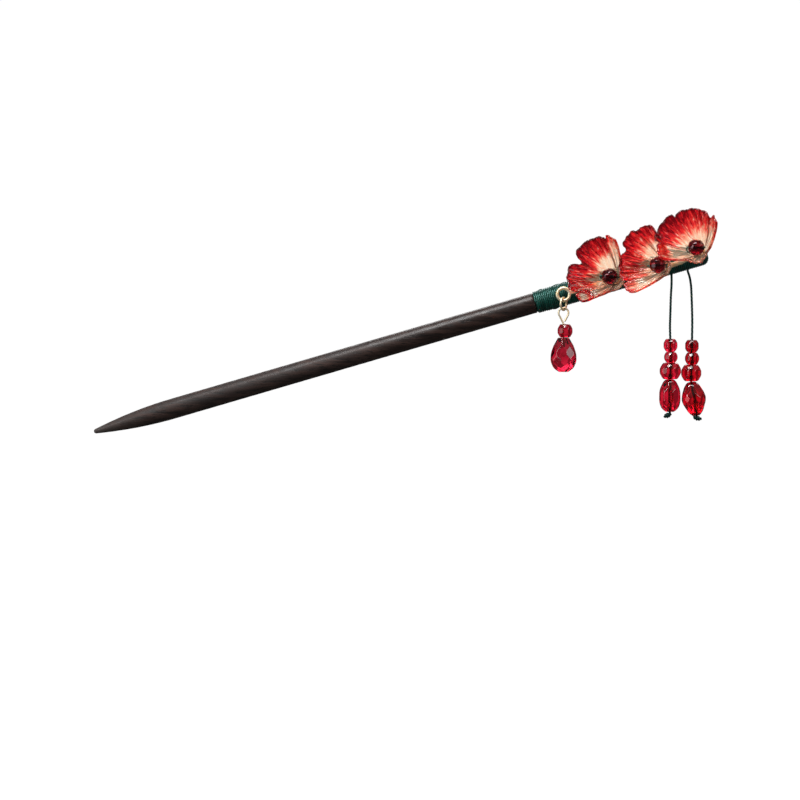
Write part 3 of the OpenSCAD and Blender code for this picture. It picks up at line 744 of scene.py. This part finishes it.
for number, (flower, petals, lobe) in enumerate(zip(FLOWERS, PETALS, LOBES)):
    lines = flower_lines(petals)
    points = petal_wall(lines[:, None, :], step_u, step_side, step_rim, lobe)
    piece = shell(f"pressed_glass_flower_{number + 1}", flower_to_frame(points, flower), looped=True)
    direction, reach, _, w, on_petal, gap, start, strength = lines
    away, fold, wave = from_lobe(direction, reach * step_u, lobe)
    dish = np.exp(-(away / (0.8 * LOBE_R)) ** 4)
    share = np.clip((step_u - start) / (DYE_FULL - start), 0, 1)
    poured = DYE_EVEN + DYE_TO_SIDE * np.cos(np.radians(direction + flower[3] - DYE_SIDE))
    share = strength * (poured * share ** 0.8 + 0.2 * np.clip((step_u - 0.96) / 0.04, 0, 1))
    share = share + HEART_TINT * np.clip(2 * poured - 0.8, 0, 1) * np.clip(1 - share, 0, 1)
    share = share * (1 - dish) + 0.7 * np.exp(-((away - 1.2 * LOBE_R) / 0.4) ** 2)
    # Painted shade: darkest along the middle of each gap between petals, darker for deeper gaps, growing out
    # from the hub, and in the curled lobe's hollow
    crease_shade = np.exp(-((1 - on_petal) * w / 0.7) ** 2) * (1 - on_petal) * np.minimum(1, 4 * gap)
    crease_shade = np.maximum(crease_shade * np.clip(step_u * 1.6, 0, 1), 0.62 * dish)
    # Stored on each point: the dye, the painted shade of the creases and the lobe's hollow, and the folds'
    # painted highlights and shade
    for name, values in (("dye", share), ("crease_shade", crease_shade), ("fold_light_and_shade", fold * wave)):
        stored = piece.data.attributes.new(name, "FLOAT", "POINT")
        stored.data.foreach_set("value", values.astype(np.float32).ravel())
    petal_place = np.stack(np.broadcast_arrays(direction / 360, step_u, 0.4 * step_side), -1)
    stored = piece.data.attributes.new("petal", "FLOAT_VECTOR", "POINT")
    stored.data.foreach_set("vector", petal_place.astype(np.float32).ravel())
    piece.data.materials.append(pressed)
    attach(piece, "stick")
    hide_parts(f"flower_{number + 1}")


# The dark beads in the flowers
# A small fire-polished bead of garnet-dark glass in each cup, drilled and tied down by the thread
# through its leaning bore. All the cut beads are ground flat facet by facet.
GARNET_D = 4.8
GARNET_BORE = 0.9
GARNET_FLAT = 0.96
GARNET_CLEAR = 0.5
GARNET_UP = GLASS_WALL + GARNET_CLEAR + GARNET_D / 2
BORE_LEAN = 45.0
MOUTH_EDGE = 0.06
# Outlines from one end to the other: share of the half width, share of the height
ROUND_CUT = [(0.6, 0), (0.87, 0.18), (1, 0.5), (0.87, 0.82), (0.6, 1)]
GARNET_CUT = [(0.34, 0), (0.66, 0.1), (0.89, 0.26), (1, 0.5), (0.89, 0.74), (0.66, 0.9), (0.34, 1)]
# Tiers of facets between the two flat ends: tilt of their normals, number, and turn as a share
# of a facet
ROUND_TIERS = [(56, 8, 0.5), (29, 10, 0), (0, 10, 0.5), (-29, 10, 0), (-56, 8, 0.5)]
GARNET_TIERS = [(60, 7, 0.5), (31, 9, 0), (0, 9, 0.5), (-31, 9, 0), (-60, 7, 0.5)]


def cut_bead(name, size, cut, tiers, bore, to_place, off=0.0, blind=0.0, sharp=44, steps=(80, 120)):
    """A bead of the given width, depth and height, ground flat facet by facet, with its edges
    softened by the fire. Each facet's plane n.p = d touches the outline that the cut gives, drawn
    in a little where there are few facets. Seen along a direction w from the bore's middle, the
    surface is at the distance (sum of (n.w / d) ** sharp) ** (-1 / sharp). The bore goes
    through, or to a blind depth."""
    width, depth, height = size
    outline = np.array([[width / 2 * x, height * (y - 0.5)] for x, y in cut])
    normals, reaches = [], []
    for tilt, count, phase in [(90, 1, 0), *tiers, (-90, 1, 0)]:
        t = np.radians(tilt)
        a = 2 * np.pi * (np.arange(count) + phase) / count
        drawn_in = (1 + np.cos(np.pi / count)) / 2 if count > 1 else 1.0
        normals.append(around_z(np.cos(t), a, np.sin(t)))
        farthest = (outline[:, 0] * drawn_in * np.cos(t) + outline[:, 1] * np.sin(t)).max()
        reaches.append(np.full(count, farthest))
    normals, reaches = np.concatenate(normals), np.concatenate(reaches)
    middle = np.array([-off, 0, 0])
    mouth = np.arctan(bore / height)
    t = np.linspace(np.pi - (0.02 if blind else mouth), mouth, steps[0])[:, None]
    a = circle(steps[1])[None, :]
    way = around_z(np.sin(t), a, np.cos(t))
    near = np.clip((way * [1, width / depth, 1]) @ normals.T, 0, None) / (reaches - normals @ middle)
    outer = middle + way * ((near ** sharp).sum(-1) ** (-1 / sharp))[..., None]
    top = outer[-1, :, 2].mean()
    bottom = top - blind if blind else outer[0, :, 2].mean() + MOUTH_EDGE
    z = np.linspace(top - MOUTH_EDGE, bottom, 10)[:, None]
    inner = middle + around_z(bore / 2, a, z)
    return shell(name, to_place(np.concatenate([outer, inner])), looped=not blind)


def glass(name, light, dark, swirl_scale, **constants):
    """Clear coloured glass with faint streaks of colour, smudges and small waves in its polish."""
    made, tree, shader = material(name, Metallic=0.0, Transmission_Weight=1.0, **constants)
    place = coordinates(tree)
    swirl = noise(tree, place, swirl_scale, distortion=1.2)
    marks = use_group(tree, handling, {"Vector": place, "Smudge scale": 520.0})
    feed(tree, shader, {"Base Color": blend(tree, span(tree, swirl, 0.35, 0.65), light, dark),
                        "Roughness": span(tree, marks["Smudge"], 0.0, 1.0, 0.01, 0.07),
                        "Normal": bumps(tree, marks["Smudge"], 0.00001, 0.25)})
    return made


garnet = glass("garnet glass", (0.19, 0.002, 0.010, 1), (0.018, 0.0004, 0.002, 1), 420.0, IOR=1.64,
               Specular_Tint=(1.0, 0.75, 0.8, 1))
for number, flower in enumerate(FLOWERS):
    def to_cup(points):
        """Carries a bead, its bore along z, to its place in the flower's cup."""
        leaned = turned(turned(points, 1, 90 - BORE_LEAN), 2, flower[5])
        return flower_to_frame(leaned + np.array([0, 0, GARNET_UP]), flower)
    piece = cut_bead(f"garnet_bead_{number + 1}", (GARNET_D, GARNET_D, GARNET_D * GARNET_FLAT),
                     GARNET_CUT, GARNET_TIERS, GARNET_BORE, to_cup, sharp=46, steps=(100, 140))
    piece.data.materials.append(garnet)
    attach(piece, "stick")
    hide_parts(f"flower_bead_{number + 1}")


# The flowers' ties
# Fine green thread that comes up through each hub, goes round its bead and down through the
# bead's bore, and back into the hub.
TIE_R = 0.225
TIE_TWIST = 14
TIE_LOW = -0.55
HUB_SHIFT = 0.55


def upright(line, depth=0.0):
    """A line given in x and z, as points at one depth."""
    return np.stack(np.broadcast_arrays(line[:, 0], depth, line[:, 1]), -1)


def beside_bead(out, degrees):
    """A point beside the dark bead, out from its surface, in the plane of the tie."""
    r, a = GARNET_D / 2 + out, np.radians(degrees)
    return [r * np.cos(a), GARNET_UP + r * np.sin(a)]


tie_rows = np.array(
    [[HUB_SHIFT, TIE_LOW], [HUB_SHIFT, GLASS_WALL + 0.2]]
    + [beside_bead(0.42, a) for a in range(-57, 34, 18)]
    + [beside_bead(out, BORE_LEAN) for out in (0.35, -1.2)]
    + [beside_bead(out, 180 + BORE_LEAN) for out in (-1.2, 0.3)]
    + [[-1.68, GLASS_WALL + 0.64], [-1.15, GLASS_WALL + 0.36], [-0.6, GLASS_WALL + 0.2],
       [-HUB_SHIFT, TIE_LOW]])
for number, flower in enumerate(FLOWERS):
    path = turned(upright(smooth_line(tie_rows, 260)), 2, flower[5])
    side = turned(np.array([[0.0, 1.0, 0.0]]), 2, flower[5])
    piece = tube(f"flower_thread_tie_{number + 1}", path, TIE_R, side, lambda p: flower_to_frame(p, flower),
                 sides=18, plies=3, lay=TIE_TWIST, ply_depth=0.3, turns_uv=TIE_TWIST)
    piece.data.materials.append(silk)
    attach(piece, "stick")
    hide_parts(f"flower_tie_{number + 1}")


# The jump ring and the drop's pin
# A ring of brass wire through the eye, bent shut, and a pin of finer wire whose pear-shaped loop
# hangs on it. The pin runs down through the round bead and is glued into the teardrop.
JUMP_D = 4.2
JUMP_WIRE = 0.6
JUMP_TURN = 28.0
SEAM_AT = 25
SEAM_DEPTH = 0.22
PIN_WIRE = 0.55
PIN_DEPTH = 3.0
LOOP_W = 3.4
LOOP_POINT = 3.15
CAP_BEAD_W = 4.3
CAP_BEAD_H = 3.9
CAP_BEAD_OFF = 0.45
STONE_W = 7.6
STONE_H = 9.9
STONE_FLAT = 0.82
eye = stick_to_frame(eye_centre) / MM
jump_r = (JUMP_D - JUMP_WIRE) / 2
jump_z = eye[2] - (EYE_D - EYE_WIRE) / 2 + EYE_WIRE / 2 + GAP + JUMP_WIRE / 2 - jump_r
loop_r = (LOOP_W - PIN_WIRE) / 2
loop_z = jump_z - jump_r + JUMP_WIRE / 2 + GAP + PIN_WIRE / 2 - loop_r
loop_half = np.arcsin(loop_r / LOOP_POINT)
cap_bead_top = loop_z - LOOP_POINT - 2 * GAP
stone_top = cap_bead_top - CAP_BEAD_H - GAP


def hang_at(height):
    """Carries points to straight below the eye ring, at the given height."""
    return lambda points: (points + np.array([eye[0], -EYE_OUT, height])) * MM


def to_jump(points):
    """Carries a flat ring to the jump ring's place, with its seam turned to the side."""
    return hang_at(jump_z)(turned(turned(turned(points, 2, SEAM_AT), 0, 90), 2, 90 - JUMP_TURN))


ring = torus("brass_jump_ring", jump_r, JUMP_WIRE / 2, to_jump, seam=SEAM_DEPTH)
ring.data.materials.append(gilding)
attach(ring, "ring")
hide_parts("jump_ring")

leg = LOOP_POINT * np.cos(loop_half)
end_room = (PIN_WIRE + GAP) / np.sin(2 * loop_half)
bow = np.pi + loop_half - np.arange(1, 13) * (np.pi + 2 * loop_half) / 12
pin_rows = np.concatenate([
    [[0, stone_top - PIN_DEPTH + GAP - loop_z], [0, -LOOP_POINT - 0.6], [0, -LOOP_POINT - 0.15]],
    [[-d * np.sin(loop_half), -LOOP_POINT + d * np.cos(loop_half)] for d in (0.35, leg * 0.6, leg)],
    np.stack([loop_r * np.cos(bow), loop_r * np.sin(bow)], -1),
    [[end_room * np.sin(loop_half), -LOOP_POINT + end_room * np.cos(loop_half)]]])
pin = tube("drop_pin_wire", upright(smooth_line(pin_rows, 240)), PIN_WIRE / 2, (0, 1, 0),
           hang_at(loop_z), sides=20)
pin.data.materials.append(gilding)
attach(pin, "drop")
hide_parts("drop_pin")


# The drop's glass
# A small round bead and a pear-shaped drop of rose-red glass below it, both cut in wide flat
# facets and polished. The drop's blind hole takes the pin's end.
PIN_BORE = 0.8
DROP_CUT = [(0.34, 0), (0.7, 0.09), (0.93, 0.26), (1, 0.44), (0.85, 0.66), (0.6, 0.87), (0.42, 1)]
DROP_TIERS = [(28, 8, 0.25), (12, 8, 0.75), (-10, 8, 0.25), (-32, 8, 0.75), (-55, 8, 0.25)]
rose = glass("rose red glass", (0.52, 0.012, 0.036, 1), (0.22, 0.002, 0.008, 1), 260.0, IOR=1.6)
cap_bead = cut_bead("drop_cap_bead", (CAP_BEAD_W, CAP_BEAD_W, CAP_BEAD_H), ROUND_CUT, ROUND_TIERS, PIN_BORE,
                    lambda p: hang_at(cap_bead_top - CAP_BEAD_H / 2)(p + np.array([CAP_BEAD_OFF, 0, 0])),
                    off=CAP_BEAD_OFF, sharp=40)
drop = cut_bead("cut_glass_teardrop", (STONE_W, STONE_W * STONE_FLAT, STONE_H), DROP_CUT, DROP_TIERS,
                PIN_BORE, hang_at(stone_top - STONE_H / 2), blind=PIN_DEPTH, sharp=110, steps=(150, 200))
for piece, node in ((cap_bead, "drop_round_bead"), (drop, "drop_stone")):
    piece.data.materials.append(rose)
    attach(piece, "drop")
    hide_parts(node)


# The two strings of beads
# Twisted green threads that come out from under the binding and carry four beads each: three
# round ones and a long one, held by a knot with a short tail.
STRING_R = 0.35
STRING_BORE = 1.1
STRING_TWIST = 20
STRING_STEPS = 420
KNOT_TURNS = 3.2
START_INSIDE = (-0.1, 0.9)
BARREL_CUT = [(0.4, 0), (0.78, 0.1), (0.97, 0.3), (1, 0.52), (0.9, 0.74), (0.64, 0.91), (0.4, 1)]
OLIVE_CUT = [(0.3, 0), (0.62, 0.16), (0.9, 0.36), (1, 0.5), (0.86, 0.7), (0.6, 0.89), (0.34, 1)]
BARREL_TIERS = [(50, 8, 0.5), (24, 8, 0), (1, 8, 0.5), (-22, 8, 0), (-48, 8, 0.5)]
OLIVE_TIERS = [(46, 8, 0.5), (24, 8, 0), (2, 8, 0.5), (-24, 8, 0), (-45, 8, 0.5)]
# Each bead: width, depth and height, cut, tiers, shift to the side, lean
LEFT_BEADS = [((4.0, 4.0, 3.7), ROUND_CUT, ROUND_TIERS, -0.3, 0),
              ((3.9, 3.9, 3.1), ROUND_CUT, ROUND_TIERS, -0.2, 0),
              ((6.2, 6.0, 4.8), ROUND_CUT, ROUND_TIERS, -0.35, 0),
              ((6.1, 6.1, 9.4), BARREL_CUT, BARREL_TIERS, -0.5, 0)]
RIGHT_BEADS = [((4.0, 4.0, 3.6), ROUND_CUT, ROUND_TIERS, 0.35, 0),
               ((4.2, 4.0, 3.5), ROUND_CUT, ROUND_TIERS, 0.4, 0),
               ((5.8, 5.8, 4.8), ROUND_CUT, ROUND_TIERS, 0.15, 0),
               ((7.6, 6.2, 9.9), OLIVE_CUT, OLIVE_TIERS, 0.9, 9)]
# Where each string leaves the binding: distance from the bound end, shift across the stick,
# distance in front of the axis, and the drop from there to its first bead
LEFT_HANG = (11.8, -3.65, 1.1, 18.2)
RIGHT_HANG = (6.0, -3.85, -1.1, 19.9)
# The free part of each thread: shift to the side, drop below the binding
LEFT_PATH = [(0, 0), (0, -2.5), (-0.2, -6), (-0.35, -11), (-0.45, -15)]
RIGHT_PATH = [(-0.85, 0), (-0.4, -1.4), (-0.1, -2.8), (0.15, -5), (0.35, -10), (0.45, -15)]
# Each knot: shift of its middle to the side, drop below the last bead, half width, half height,
# and the direction of its tail
LEFT_KNOT = (-0.65, -1.0, 1.3, 0.8, (-0.9, -0.35))
RIGHT_KNOT = (0.25, -0.7, 1.4, 0.75, (0.75, -0.2))
random = np.random.default_rng(7)
# The twisted thread's first colour is painted shade between its fibres, as on the binding
twist = thread("twisted green thread", ((0.0006, 0.004, 0.0036, 1), (0.002, 0.02, 0.017, 1),
                                        (0.006, 0.07, 0.056, 1)), 0.3, (0.5, 0.34), (5.0, 8.0), 0.5,
               Sheen_Tint=(0.2, 0.9, 0.75, 1), Specular_Tint=(0.5, 1.0, 0.9, 1))
ruby = glass("ruby red glass", (0.66, 0.010, 0.036, 1), (0.36, 0.003, 0.012, 1), 240.0, IOR=1.56)
deep_ruby = glass("deep ruby glass", (0.55, 0.003, 0.012, 1), (0.28, 0.001, 0.004, 1), 240.0, IOR=1.56)


def bead_middles(hang, beads):
    """The string's start, and each bead's middle as x and z, stacked with a small gap."""
    from_head, across, _, drop = hang
    top = stick_to_frame(np.array([STICK_LENGTH - from_head, 0, across])) / MM
    z = top[2] - drop
    middles = []
    for (width, _, height), cut, _, shift, lean in beads:
        a = np.radians(lean)
        room = height * np.cos(a) + width * cut[0][0] * np.sin(a) + GAP
        middles.append((top[0] + shift, z - (room - GAP) / 2))
        z -= room
    return top, middles


def bead_string(side_name, hang, beads, free, knot, colored):
    """One thread with its beads and its knot."""
    top, middles = bead_middles(hang, beads)
    depth = -hang[2]
    for number, (bead, (x, z)) in enumerate(zip(beads, middles)):
        (width, bead_depth, height), cut, tiers, _, lean = bead
        turn = random.uniform(0, 45)

        def to_string(points):
            """Carries the bead, its bore along z, to its place on the string."""
            leaned = turned(turned(points, 2, turn), 1, -lean)
            return (leaned + np.array([x, depth, z])) * MM
        piece = cut_bead(f"{side_name}_cut_bead_{number + 1}", (width, bead_depth, height + 0.8 * GAP), cut,
                         tiers, STRING_BORE, to_string)
        piece.data.materials.append(colored)
        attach(piece, "stick")
        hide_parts(f"{side_name}_bead_{number + 1}")
    lean = np.radians(beads[-1][4])
    half = np.array([-np.sin(lean), np.cos(lean)]) * beads[-1][0][2] / 2
    high, low = np.array(middles[-1]) + half, np.array(middles[-1]) - half
    rows = [(top[0] + x, top[2] + z) for x, z in free] + middles[:-1]
    rows.insert(0, (rows[0][0] + START_INSIDE[0], rows[0][1] + START_INSIDE[1]))
    rows += [tuple(high), tuple(low), tuple(low + (0.1 * knot[0], knot[1] * 0.8))]
    path = upright(smooth_line(np.array(rows), STRING_STEPS), depth)
    string = tube(f"{side_name}_twisted_thread", path, STRING_R, (0, 1, 0), lambda p: p * MM, sides=18,
                  plies=3, lay=STRING_TWIST, ply_depth=0.3, turns_uv=30)
    shift, drop, wide, high, tail = knot
    t = np.linspace(0, 1, 220)[:, None]
    a = 2 * np.pi * KNOT_TURNS * t
    swell = np.sin(np.pi * t) ** 0.6
    axis = np.array([tail[0], 0, tail[1]]) / np.hypot(*tail)
    up, back = np.array([-axis[2], 0, axis[0]]), np.array([0, 1, 0])
    spot = np.array([low[0] + shift, depth, low[1] + drop]) + axis * (2 * t - 1) * (wide - STRING_R)
    spot = spot + up * (high - 0.3) * swell * np.cos(a) + back * (high - 0.1) * swell * np.sin(a)
    coils = tube("knot_coils", spot, STRING_R * 0.95, up * np.cos(a) + back * np.sin(a), lambda p: p * MM,
                 sides=14, plies=3, lay=9, ply_depth=0.28, turns_uv=12)
    string = join([string, coils])
    string.data.materials.append(twist)
    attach(string, "stick")
    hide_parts(f"{side_name}_thread")


bead_string("left", LEFT_HANG, LEFT_BEADS, LEFT_PATH, LEFT_KNOT, ruby)
bead_string("right", RIGHT_HANG, RIGHT_BEADS, RIGHT_PATH, RIGHT_KNOT, deep_ruby)


# The studio
# A plain pale floor that curves up into a wall all round, soft lamps, and a camera level with
# the stick, square to its front. Places and sizes here are in metres.
FLOOR_Z = -0.13
FLOOR_FLAT = 2.6
WALL_R = 3.6
WALL_TOP = 3.4
BOWL_SIDES = 96
DISTANCE = 2.4
PICTURE = 800
PIXELS_PER_MM = 3.452
GRIP_RIGHT, GRIP_DOWN = 312.7, 367.8
VIEW_X = (PICTURE / 2 - GRIP_RIGHT) / PIXELS_PER_MM * MM
VIEW_Z = (GRIP_DOWN - PICTURE / 2) / PIXELS_PER_MM * MM
PAPER_LIGHT = 0.985
GLASS_BACKDROP = 1.22
FLAGS = 8.0
FLAG_LIGHT = 0.3
SENSOR = 36.0
AIM = Vector((0.06, 0, 0.01))
# Each lamp: name, place, width and height, power
LAMPS = [("top_lamp", (0.05, -0.3, 0.8), (0.7, 0.3), 7.0),
         ("spark_lamp", (-0.17, -0.5, 0.75), (0.13, 0.13), 1.8),
         ("left_lamp", (-0.6, -0.75, 0.4), (0.28, 0.45), 3.6),
         ("left_panel", (-1.1, -0.6, 0.1), (0.9, 0.9), 4.2),
         ("right_lamp", (0.8, -0.45, 0.3), (0.16, 0.5), 0.7),
         ("back_lamp", (0.2, 0.8, 0.6), (0.8, 0.4), 4.0)]

curve = np.linspace(0, np.pi / 2, 14)[1:]
bend_r = WALL_R - FLOOR_FLAT
flat = np.linspace(0.05, FLOOR_FLAT, 12)
bowl_r = np.concatenate([flat, FLOOR_FLAT + bend_r * np.sin(curve), [WALL_R]])
bowl_z = np.concatenate([0 * flat, bend_r * (1 - np.cos(curve)), [WALL_TOP]])
bowl = around_z(bowl_r[:, None], circle(BOWL_SIDES), bowl_z[:, None] + FLOOR_Z)
_, _, quads = ring_quads(len(bowl_r), BOWL_SIDES)
mesh = bpy.data.meshes.new("studio_floor")
mesh.from_pydata(bowl.reshape(-1, 3).tolist(), [], quads[:, ::-1].tolist() + [list(range(BOWL_SIDES))])
mesh.shade_smooth()
floor = add_object("studio_floor", mesh)

# What glass refracts is the paper's own glow, broken up by eight dark flags that are painted into that glow
# between the main views, and by a darker floor and upper wall, so that cut facets differ from each other.
# The paper is seen from its inner side only.
paper, tree, shader = material("pale studio paper", Base_Color=(0.06, 0.06, 0.06, 1), Roughness=0.9,
                               Emission_Color=(1, 1, 1, 1))
geometry = add_node(tree, "NewGeometry").outputs
spot = add_node(tree, "SeparateXYZ", {"Vector": geometry["Position"]}).outputs
azimuth = arithmetic(tree, "ARCTAN2", spot["Y"], spot["X"])
# Painted shade in the paper's glow: dark bands between the main views
flags = span(tree, arithmetic(tree, "COSINE", product(tree, azimuth, FLAGS)), -0.8, -0.1, FLAG_LIGHT, 1.0)
steep = arithmetic(tree, "ABSOLUTE", arithmetic(tree, "SUBTRACT", spot["Z"], 0.25))
square = added(tree, arithmetic(tree, "POWER", spot["X"], 2.0), arithmetic(tree, "POWER", spot["Y"], 2.0))
to_glass = product(tree, flags, span(tree, steep, 0.6, 1.6, 1.0, 0.6))
to_glass = product(tree, product(tree, to_glass, span(tree, square, 0.6, 4.0, 0.6, 1.0)), GLASS_BACKDROP)
seen = add_node(tree, "LightPath").outputs
plain = product(tree, seen["Is Camera Ray"], arithmetic(tree, "SUBTRACT", PAPER_LIGHT, to_glass))
feed(tree, shader, {"Emission Strength": added(tree, to_glass, plain)})
clear = add_node(tree, "BsdfTransparent").outputs["BSDF"]
one_sided = add_node(tree, "MixShader", {
    0: geometry["Backfacing"], 1: shader.outputs["BSDF"], 2: clear})
feed(tree, tree.nodes["Material Output"], {"Surface": one_sided.outputs["Shader"]})
mesh.materials.append(paper)
floor.visible_diffuse = False
floor.visible_glossy = False

for name, place, size, power in LAMPS:
    data = bpy.data.lights.new(name, "AREA")
    data.shape = "RECTANGLE"
    data.size, data.size_y = size
    data.energy = power
    lamp = add_object(name, data)
    lamp.location = place
    lamp.rotation_euler = (AIM - Vector(place)).to_track_quat("-Z", "Y").to_euler()

# Rays that go straight to the camera or through glass see a bright air, and others a dim one
world = bpy.data.worlds.new("studio_air")
bpy.context.scene.world = world
world.use_nodes = True
tree = world.node_tree
seen = add_node(tree, "LightPath").outputs
direct = arithmetic(tree, "MAXIMUM", seen["Is Camera Ray"], seen["Is Transmission Ray"])
sky = add_node(tree, "SeparateXYZ", {"Vector": coordinates(tree, "Generated")}).outputs["Z"]
strength = added(tree, product(tree, direct, 0.97), product(tree, seen["Is Diffuse Ray"], 0.32),
                 product(tree, seen["Is Glossy Ray"], span(tree, sky, 0.3, 0.9, 0.05, 0.3)))
feed(tree, tree.nodes["Background"], {"Color": (1, 1, 1, 1), "Strength": strength})

camera = add_object("camera", bpy.data.cameras.new("camera"))
camera.location = (VIEW_X, -DISTANCE, VIEW_Z)
camera.rotation_euler = (np.pi / 2, 0, 0)
camera.data.sensor_width = SENSOR
camera.data.lens = SENSOR * DISTANCE / (PICTURE / PIXELS_PER_MM * MM)
camera.data.clip_start, camera.data.clip_end = 0.05, 20
bpy.context.scene.camera = camera
bpy.context.scene.view_settings.view_transform = "Standard"
